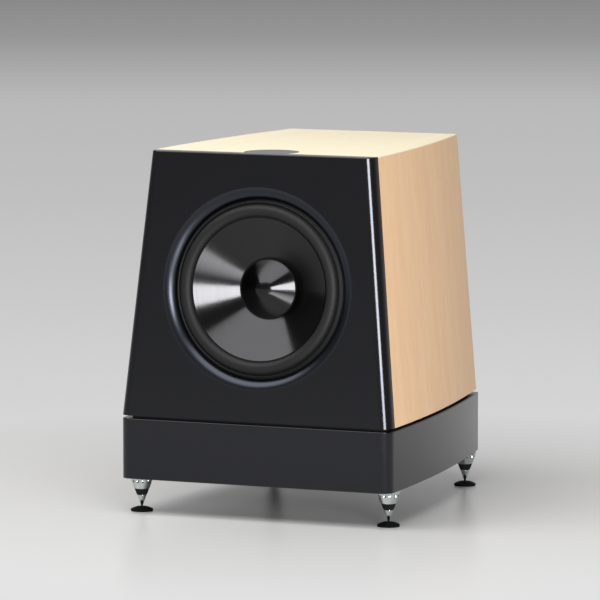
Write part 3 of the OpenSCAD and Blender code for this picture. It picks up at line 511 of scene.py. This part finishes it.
def flexing_ring(node, section, count, steps, crease, material, foot_outer):
    """Spins a closed section of (radius, height) points into sectors round the woofer's axis, for a node.
    """
    span, weld = 2 * math.pi / count, 0.001 * mm
    bpy.ops.object.select_all(action="DESELECT")
    bpy.ops.mesh.primitive_circle_add(vertices=len(section), radius=foot_outer, fill_type="NGON")
    sector = bpy.context.object
    for vert, (radius, height) in zip(sector.data.vertices, section):
        vert.co = (radius * math.cos(span / 2), -radius * math.sin(span / 2), height)
    bpy.ops.object.mode_set(mode="EDIT")
    bpy.ops.mesh.select_all(action="SELECT")
    # spin turns clockwise about its axis, so the axis points away
    bpy.ops.mesh.spin(steps=steps, angle=span, center=(0, 0, 0), axis=(0, 0, -1))
    bpy.ops.mesh.select_all(action="SELECT")
    bpy.ops.mesh.remove_doubles(threshold=weld)
    bpy.ops.mesh.normals_make_consistent(inside=False)
    bpy.ops.object.mode_set(mode="OBJECT")
    bpy.ops.object.shade_smooth_by_angle(angle=math.radians(crease))
    for number in range(count):
        turn = woofer_frame @ Matrix.Rotation(number * span, 4, "Z")
        piece = bpy.data.objects.new(f"{node}_{number + 1:02d}", sector.data.copy())
        bpy.context.scene.collection.objects.link(piece)
        piece.data.transform(turn)
        piece.data.materials.append(material)
        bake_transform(piece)
        if number == 0:
            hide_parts(node)
    bpy.data.objects.remove(sector)


cloth, cloth_level = 0.6 * mm, -60.1 * mm
collar_inner, collar_outer, collar_half = 26 * mm, 27 * mm, 1.4 * mm
wave_inner, wave_outer, seat_outer = 30 * mm, 60 * mm, 68 * mm
wave_count, wave_height, wave_steps = 5, 2.2 * mm, 60
waves = [
    (wave_inner + (wave_outer - wave_inner) * i / wave_steps,
     wave_height * math.sin(2 * math.pi * wave_count * i / wave_steps))
    for i in range(wave_steps + 1)
]
spider_section = []
for side, level in ((1, cloth_level + cloth), (-1, cloth_level)):
    collar = [(collar_inner, side * collar_half), (collar_outer, side * collar_half), (collar_outer, 0)]
    skin = [(radius, level + height) for radius, height in collar + waves + [(seat_outer, 0)]]
    spider_section += skin[::side]
flexing_ring(
    "spider",
    spider_section,
    count=16,
    steps=6,
    crease=60,
    material=dipped_cloth,
    foot_outer=wave_outer,
)


# Cone and dust cap: spun from sheet aluminium, anodised a dark grey and bonded to the former.
# Fine turning marks run round the axis, so the light spreads across them in wedges.
def spun_aluminium():
    """Dark anodised spun aluminium: sharp wedges of reflection, drawn out across fine turning marks."""
    # real turning marks are about 0.2 mm apart; they are drawn coarser so that they show
    mark, broad_mark = 1.6 * mm, 9 * mm
    streak, streak_radius = 1.2 * mm, 70 * mm
    quarter_turn = 0.25
    material, tree, shader, place = new_finish(
        "spun_dark_aluminium", Metallic=1.0, Base_Color=linear("#343435"), Anisotropic=0.6,
        Anisotropic_Rotation=quarter_turn,
    )
    radius, turned = axis_radius(tree, place)
    sides = add(tree, "ShaderNodeSeparateXYZ", {0: turned})
    angle = add(tree, "ShaderNodeMath", {0: sides.outputs["X"], 1: sides.outputs["Y"]}, operation="ARCTAN2")
    fine, broad, rays = [
        add(tree, "ShaderNodeTexNoise", {"W": value, "Scale": 1 / width, "Detail": 2.0},
            noise_dimensions="1D").outputs["Fac"]
        for value, width in (
            (radius, mark), (radius, broad_mark), (angle.outputs["Value"], streak / streak_radius)
        )
    ]
    uneven = add(tree, "ShaderNodeMath", {0: broad, 1: rays}, operation="ADD")
    gloss = add(tree, "ShaderNodeMapRange",
                {"Value": uneven.outputs["Value"], "From Max": 2.0, "To Min": 0.1, "To Max": 0.24})
    grooves = add(tree, "ShaderNodeBump", {"Height": fine, "Strength": 0.05, "Distance": 0.02 * mm})
    relief = add(
        tree,
        "ShaderNodeBump",
        {"Height": rays, "Strength": 0.06, "Distance": 0.02 * mm, "Normal": grooves.outputs["Normal"]},
    )
    around = add(tree, "ShaderNodeTangent", direction_type="RADIAL", axis="Y")
    tree.links.new(gloss.outputs["Result"], shader.inputs["Roughness"])
    tree.links.new(relief.outputs["Normal"], shader.inputs["Normal"])
    tree.links.new(around.outputs["Tangent"], shader.inputs["Tangent"])
    return material


dress(spun_aluminium(), "cone", "dust_cap")

# Surround: a moulded butyl rubber half roll, glued to the cone's rim and clamped on the flange.
# It is made in sectors round the woofer's axis.
# butyl rubber: soft black, with a broad dull sheen along the roll
butyl_rubber = mottled("moulded_butyl_rubber", "#131314", "#181819", 1.4 * mm, 0.56, depth=0.01 * mm,
                       shine=0.25)
flange_height = -12.5 * mm
rubber = 1.5 * mm
roll_middle, roll_radius, roll_height = 108.2 * mm, 8.8 * mm, -9.8 * mm
glued_lip = [(94 * mm, -12.2 * mm), (98 * mm, roll_height)]
# from the groove beside the roll, over a raised ridge, to the flat edge under the baffle's lip
clamped_rim = [(r * mm, z * mm) for r, z in (
    (117.4, -9.9), (118.8, -7.4), (119.3, -6.8), (119.8, -6.7), (120.3, -7.1),
    (122.0, -9.6), (123.6, -10.8), (124.4, -11.0), (128.5, -11.0),
)]
roll_steps = 24


def roll_arc(radius):
    """Points over the half roll, from its inner foot to its outer one."""
    angles = (math.pi * (1 - i / roll_steps) for i in range(roll_steps + 1))
    return [(roll_middle + radius * math.cos(a), roll_height + radius * math.sin(a)) for a in angles]


outer_skin = glued_lip + roll_arc(roll_radius) + clamped_rim
inner_skin = [(radius, height - rubber) for radius, height in glued_lip] + roll_arc(roll_radius - rubber)
inner_skin += [(clamped_rim[0][0], flange_height), (clamped_rim[-1][0], flange_height)]
flexing_ring(
    "surround",
    outer_skin + inner_skin[::-1],
    count=24,
    steps=10,
    crease=40,
    material=butyl_rubber,
    foot_outer=117 * mm,
)

# Amplifier inside: a folded steel box, a board on pillars with its components, and a ring transformer.
# The box is zinc coated, the board is lacquered glass fibre, and the winding is taped.
# zinc-coated sheet: grey with large pale spangles
folded_sheet = mottled("zinc_coated_sheet", "#85878a", "#a3a5a8", 12 * mm, 0.38, metallic=1.0)
# solder mask: deep green under a thin gloss
circuit_board = mottled("solder_masked_board", "#123f22", "#1c5a31", 3 * mm, 0.4)
# shrink sleeves: blue-black, half gloss
sleeved_parts = mottled("sleeved_components", "#15161b", "#23252c", 2 * mm, 0.45)
# taped winding: copper brown under clear tape
taped_winding = mottled("taped_winding", "#7d4318", "#a8642c", 2.5 * mm, 0.5, depth=0.1 * mm)
dress(folded_sheet, "amp_box")
dress(circuit_board, "amp_board")
dress(sleeved_parts, "board_parts")
dress(taped_winding, "transformer")

# Amplifier panel and heat sink: an aluminium plate let into the back, and a finned extrusion on it.
# Both are black anodised over a fine brushing; the plate is held by six screws.
# black anodising over brushing: charcoal metal with lines along its width, drawn coarser than real, to show
anodised_plate = mottled("black_anodised_aluminium", "#242427", "#333338", 0.7 * mm, 0.42, metallic=0.6,
                         stretch=(0.05, 1, 1))
dress(anodised_plate, "amp_panel", "heat_sink")

# Sockets, inlet and power switch: moulded black nylon, with gold-flashed barrels on the phono sockets.
# Each barrel holds a coloured insulator ring, and the rocker hangs on two pins in its frame.
# moulded nylon: black with a fine even texture and a weak sheen
moulded_nylon = mottled("moulded_black_nylon", "#131314", "#1d1d1e", 0.9 * mm, 0.5, depth=0.03 * mm)
# gold flash: a thin bright yellow plating
gold_flash = mottled("gold_flashed_brass", "#c79a45", "#e0ba6c", 1.5 * mm, 0.2, metallic=1.0)
dress(moulded_nylon, "mains_inlet", "switch_frame", "rocker")
dress(gold_flash, "line_sockets")
socket_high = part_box("line_sockets")[1]
ring_inner, ring_outer, ring_ease = 1.75 * mm, 3.5 * mm, 0.2 * mm
ring_sunk, ring_shoulder, ring_proud = -0.5 * mm, 0.21 * mm, 0.3 * mm
ring_sides = 40
ring_profile = [
    (ring_inner, ring_sunk), (ring_outer, ring_sunk), (ring_outer, ring_shoulder),
    (ring_outer - ring_ease, ring_proud), (ring_inner + ring_ease, ring_proud), (ring_inner, ring_shoulder),
]
back_frame = Matrix.Rotation(-math.pi / 2, 4, "X")
ring_tones = {"line_in_1": "#c9c9c6", "line_in_2": "#a31f1c", "line_in_3": "#1a1a1c"}
for mount_row in frame["record"]["mounts"]:
    if mount_row["name"] not in ring_tones:
        continue
    name, tone = mount_row["name"], ring_tones[mount_row["name"]]
    ring = lathe(name + "_insulator", ring_profile, ring_sides)
    x, _, z = mount_row["pos_m"]
    ring.data.transform(Matrix.Translation((x, socket_high.y, z)) @ back_frame)
    smooth(ring, degrees=50)
    # moulded insulator: plain dyed plastic with a soft sheen
    insulator = mottled(name + "_dyed_plastic", tone, tone, 1.0 * mm, 0.4, depth=0.01 * mm)
    mount(ring, insulator, "cabinet", "black_plastic")

# Controls: three turned knobs with a pointer groove, filled with white and pushed on their shafts.
# Round each, the panel has eleven printed marks over the knob's turn.
# satin black: a soft grey light along the rim
satin_knob = mottled("satin_black_knob", "#1b1b1c", "#262627", 0.6 * mm, 0.42, depth=0.03 * mm)
# dial print: a matt off-white ink
dial_print = mottled("off_white_dial_print", "#cfcfca", "#dededa", 0.5 * mm, 0.6)
dress(satin_knob, "level_knob", "crossover_knob", "phase_knob")
panel_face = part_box("amp_panel")[1].y
mark_radius, mark_count, mark_sweep = 15 * mm, 11, math.radians(300)
mark_size, mark_ease = (0.7 * mm, 0.08 * mm, 2.6 * mm), 0.02 * mm
pointer_size, pointer_ease = (1.2 * mm, 0.7 * mm, 4.4 * mm), 0.15 * mm
pointer_radius, pointer_drop = 6.4 * mm, 0.55 * mm
for control in ("level", "crossover", "phase"):
    joint = next(j for j in frame["joints"] if j["name"] == control + "_turn")
    x, _, z = joint["pos_m"]
    bpy.ops.object.select_all(action="DESELECT")
    first = -mark_sweep / 2
    bpy.ops.mesh.primitive_cube_add(
        size=1,
        location=(x + mark_radius * math.sin(first), panel_face, z + mark_radius * math.cos(first)),
        rotation=(0, first, 0),
        scale=mark_size,
    )
    bpy.ops.object.transform_apply(location=True, rotation=True, scale=True)
    marks = bpy.context.object
    marks.name = control + "_dial_marks"
    bpy.ops.object.mode_set(mode="EDIT")
    bpy.ops.mesh.bevel(offset=mark_ease, segments=2, affect="EDGES")
    bpy.ops.mesh.select_all(action="SELECT")
    bpy.ops.mesh.spin(
        steps=mark_count - 1, dupli=True, angle=mark_sweep, center=(x, panel_face, z), axis=(0, -1, 0)
    )
    bpy.ops.object.mode_set(mode="OBJECT")
    mount(marks, dial_print, "cabinet", "amp_plate")
    knob_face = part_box(control + "_knob")[1].y
    bpy.ops.object.select_all(action="DESELECT")
    bpy.ops.mesh.primitive_cube_add(
        size=1, location=(x, knob_face - pointer_drop, z + pointer_radius), scale=pointer_size
    )
    bpy.ops.object.transform_apply(location=True, rotation=True, scale=True)
    pointer = bpy.context.object
    pointer.name = control + "_pointer"
    bpy.ops.object.mode_set(mode="EDIT")
    bpy.ops.mesh.bevel(offset=pointer_ease, segments=3, affect="EDGES")
    bpy.ops.object.mode_set(mode="OBJECT")
    mount(pointer, dial_print, control + "_control", "knob")

# Loudspeaker lead: a twin cable from the amplifier box to the woofer's tabs, held along its whole run.
# Its jacket is soft black vinyl.
# soft vinyl: black with a faint waxy sheen
vinyl_jacket = mottled("soft_vinyl_jacket", "#1c1c1d", "#29292a", 1.2 * mm, 0.5)
dress(vinyl_jacket, "speaker_lead")

# Feet: a steel cup, cone and stud turned in one piece and chromed, with a black band between cup and cone.
# Twelve scallops are milled round the cup for grip, and each point stands in a black domed disc.
# bright chrome: a cool mirror that picks up the room and the lamps
chrome = mottled("bright_chrome", "#b2b9b8", "#c4cac9", 4 * mm, 0.08, metallic=1.0)
# rubber band: dull black, with hardly a reflection
band_rubber = mottled("black_rubber_band", "#0c0c0d", "#141415", 0.8 * mm, 0.7, depth=0.02 * mm, shine=0.2)
# matt enamel: the deepest black of all, with almost no sheen
disc_paint = mottled("matt_black_enamel", "#050505", "#090909", 1.0 * mm, 0.75, shine=0.1)
foot_low, foot_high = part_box("foot_fl")
turned_sides = 96
point_radius, stud_radius = 0.8 * mm, 4 * mm
# (radius, height) from the point up: cone and its rounded shoulder, neck, bellied cup, stud
spike = lathe(
    "spike_blank",
    [(point_radius, foot_low.z)] + [(r * mm, z * mm) for r, z in (
        (6.4, 21.6), (6.7, 22.2), (6.6, 22.7), (6.0, 23.0),
        (5.0, 23.0), (5.0, 31.6),
        (10.2, 31.6), (10.8, 31.8), (11.1, 32.3), (12.4, 36.0), (13.7, 40.0), (14.8, 44.0), (15.5, 47.0),
        (15.9, 48.8), (15.8, 49.5), (15.2, 50.0),
    )] + [(stud_radius, 50 * mm), (stud_radius, foot_high.z)],
    turned_sides,
)
scallop_count, scallop_reach, scallop_height = 12, 16.6 * mm, 44.6 * mm
scallop_half = (3.6 * mm, 3.0 * mm, 6.2 * mm)
bpy.ops.object.select_all(action="DESELECT")
bpy.ops.mesh.primitive_uv_sphere_add(
    segments=24, ring_count=16, radius=1, location=(scallop_reach, 0, scallop_height), scale=scallop_half
)
bpy.ops.object.transform_apply(location=True, rotation=True, scale=True)
scallops = bpy.context.object
bpy.ops.object.mode_set(mode="EDIT")
bpy.ops.mesh.select_all(action="SELECT")
bpy.ops.mesh.spin(
    steps=scallop_count - 1,
    dupli=True,
    angle=2 * math.pi * (scallop_count - 1) / scallop_count,
    center=(0, 0, 0),
    axis=(0, 0, 1),
)
bpy.ops.object.mode_set(mode="OBJECT")
cut(spike, scallops)
smooth(spike, degrees=40)
band = lathe(
    "band_blank",
    [(r * mm, z * mm) for r, z in (
        (5.2, 23.2), (6.9, 23.2), (7.3, 23.5), (10.2, 31.0), (10.0, 31.4), (5.2, 31.4),
    )],
    turned_sides,
)
smooth(band, degrees=40)
turned_pieces = ((spike, "foot", chrome, "chrome"), (band, "band", band_rubber, "rubber"))
for corner, place in foot_places.items():
    for blank, name, finish, slot in turned_pieces:
        piece = bpy.data.objects.new(f"{name}_{corner}_turned", blank.data.copy())
        bpy.context.scene.collection.objects.link(piece)
        piece.data.transform(Matrix.Translation((place.x, place.y, 0)))
        mount(piece, finish, "spike_foot_" + corner, slot, f"{name}_{corner}")
    dress(disc_paint, "disc_" + corner)
for blank in (spike, band):
    bpy.data.objects.remove(blank)

# Studio: a plain pale floor whose far part is a painted glow that fades to grey with distance, a tall soft light
# at the right front, a broad one overhead, and a dim room with darker side walls; then the camera of the
# photograph.
# the camera's place, turn and lens were fitted to the object's edges in the photograph
eye = Vector((2.7095, front_y - 6.4439, plinth_low.z + 1.0503))
camera_azimuth, camera_elevation = math.radians(22.28), math.radians(6.478)
sensor_width, lens, sight = 36, 309.5, 200
floor_size = 80
bpy.ops.mesh.primitive_plane_add(size=floor_size)
floor = bpy.context.object
floor.name = "studio_floor"
# floor paint: pale grey with a half gloss, so that the object mirrors softly in it
paint, tree, shader, place = new_finish("pale_floor_paint", Base_Color=linear("#cdcdcc"), Roughness=0.25)
away = add(tree, "ShaderNodeVectorRotate",
           {"Vector": place, "Angle": -camera_azimuth}, rotation_type="Z_AXIS")
depth = add(tree, "ShaderNodeSeparateXYZ", {0: away.outputs["Vector"]}).outputs["Y"]
# painted falloff: the greys that the floor glows in, darker by metres behind the object
fade_near, fade_far = -1.0, 13.0
fade = add(tree, "ShaderNodeMapRange", {"Value": depth, "From Min": fade_near, "From Max": fade_far})
tones = add(tree, "ShaderNodeValToRGB", {"Fac": fade.outputs["Result"]})
tones.color_ramp.elements[0].color = linear("#e4e4e4")
tones.color_ramp.elements[1].color = linear("#888888")
painted_falloff_greys = {1.0: "#d4d4d4", 2.5: "#cacaca", 4.5: "#c0c0c0", 7.5: "#b9b9b9", 9.2: "#a6a6a6", 10.5: "#969696"}
for metres, tone in painted_falloff_greys.items():
    tones.color_ramp.elements.new((metres - fade_near) / (fade_far - fade_near)).color = linear(tone)
# painted light: the far floor glows in these greys instead of taking its light from the lamps
painted_floor_glow = add(tree, "ShaderNodeEmission", {"Color": tones.outputs["Color"], "Strength": 1.0})
reach = add(tree, "ShaderNodeVectorMath", {0: place}, operation="LENGTH").outputs["Value"]
# near the object the floor is plain paint and keeps its shadow; further out a painted glow in the backdrop's tone
# covers its real light and shade
shadow_reach, backdrop_reach = 0.3, 0.95
far = add(tree, "ShaderNodeMapRange", {"Value": reach, "From Min": shadow_reach, "From Max": backdrop_reach})
path = add(tree, "ShaderNodeLightPath")
shown = add(tree, "ShaderNodeMath",
            {0: path.outputs["Is Camera Ray"], 1: path.outputs["Is Glossy Ray"]}, operation="MAXIMUM")
shown = add(tree, "ShaderNodeMath",
            {0: shown.outputs["Value"], 1: path.outputs["Is Transmission Ray"]}, operation="MAXIMUM")
share = add(tree, "ShaderNodeMath",
            {0: far.outputs["Result"], 1: shown.outputs["Value"]}, operation="MULTIPLY")
mixed = add(tree, "ShaderNodeMixShader",
            {0: share.outputs["Value"], 1: shader.outputs["BSDF"], 2: painted_floor_glow.outputs["Emission"]})
tree.links.new(mixed.outputs["Shader"], tree.nodes["Material Output"].inputs["Surface"])
floor.data.materials.append(paint)

world = bpy.data.worlds.new("dim_room")
world.use_nodes = True
bpy.context.scene.world = world
tree = world.node_tree
background = tree.nodes["Background"]
front_wall, side_wall, back_wall, far_wall = 0.28, 0.14, 0.52, 0.42
heading = add(tree, "ShaderNodeTexCoord").outputs["Generated"]
depth = add(tree, "ShaderNodeSeparateXYZ", {0: heading}).outputs["Y"]
turned = add(tree, "ShaderNodeMapRange", {"Value": depth, "From Min": -1.0, "From Max": 1.0})
walls = add(tree, "ShaderNodeValToRGB", {"Fac": turned.outputs["Result"]})
walls.color_ramp.elements[0].color = [front_wall] * 3 + [1]
walls.color_ramp.elements[1].color = [back_wall] * 3 + [1]
walls.color_ramp.elements.new(0.5).color = [side_wall] * 3 + [1]
path = add(tree, "ShaderNodeLightPath")
seen = add(tree, "ShaderNodeMix", {0: path.outputs["Is Camera Ray"], 6: walls.outputs["Color"],
                                   7: [far_wall] * 3 + [1]}, data_type="RGBA")
tree.links.new(seen.outputs[2], background.inputs["Color"])


def soft_light(name, place, target, width, height, watts, on_paint=True, in_gloss=True, roll=0, spread=180):
    """A rectangular soft light that faces a point and isn't itself in the picture."""
    bpy.ops.object.light_add(type="AREA", location=place)
    lamp = bpy.context.object
    lamp.name = name
    lamp.rotation_euler = (Vector(target) - Vector(place)).to_track_quat("-Z", "Y").to_euler()
    lamp.rotation_euler.rotate_axis("Z", math.radians(roll))
    lamp.data.shape = "RECTANGLE"
    lamp.data.size, lamp.data.size_y = width, height
    lamp.data.energy, lamp.data.spread = watts, math.radians(spread)
    lamp.visible_camera = False
    lamp.visible_diffuse, lamp.visible_glossy = on_paint, in_gloss
    return lamp


# the tall light falls on the paint from one height and shows in the gloss from another
soft_light(
    "tall_light", (1.7, -2.23, 0.42), (0, -0.2, 0.42), width=0.95, height=0.8, watts=60, in_gloss=False
)
tall_gloss = soft_light(
    "tall_light_gloss", (1.67, -2.19, 0.675), (0, -0.2, 0.675), width=0.95, height=0.85, watts=64,
    on_paint=False,
)
soft_light("overhead_light", (-0.75, -1.4, 2.4), (-0.75, -1.4, 0), width=4.1, height=2.4, watts=124)
# a white board on the floor, out of the picture, that shows in gloss only
board_gloss = soft_light(
    "floor_board_gloss", (0.72, -1.18, 0.01), (0.72, -1.18, 1), width=0.4, height=1.34, watts=16,
    on_paint=False, roll=-42, spread=160,
)
# these two show in the baffle, plinth, metal and rubber, and leave no glare on the wood, the top or the floor
dull_surfaces = bpy.data.collections.new("dull_surfaces")
for node in ("veneer_left", "veneer_right", "veneer_top", "top_inlay"):
    dull_surfaces.objects.link(frame["nodes"][node])
for piece in (top_strip, floor):
    dull_surfaces.objects.link(piece)
for surface in dull_surfaces.collection_objects:
    surface.light_linking.link_state = "EXCLUDE"
for lamp in (tall_gloss, board_gloss):
    lamp.light_linking.receiver_collection = dull_surfaces

bpy.ops.object.camera_add(location=eye, rotation=(math.pi / 2 - camera_elevation, 0, camera_azimuth))
camera = bpy.context.object
camera.data.sensor_width = sensor_width
camera.data.lens = lens
camera.data.clip_end = sight
bpy.context.scene.camera = camera
bpy.context.scene.view_settings.view_transform = "Standard"
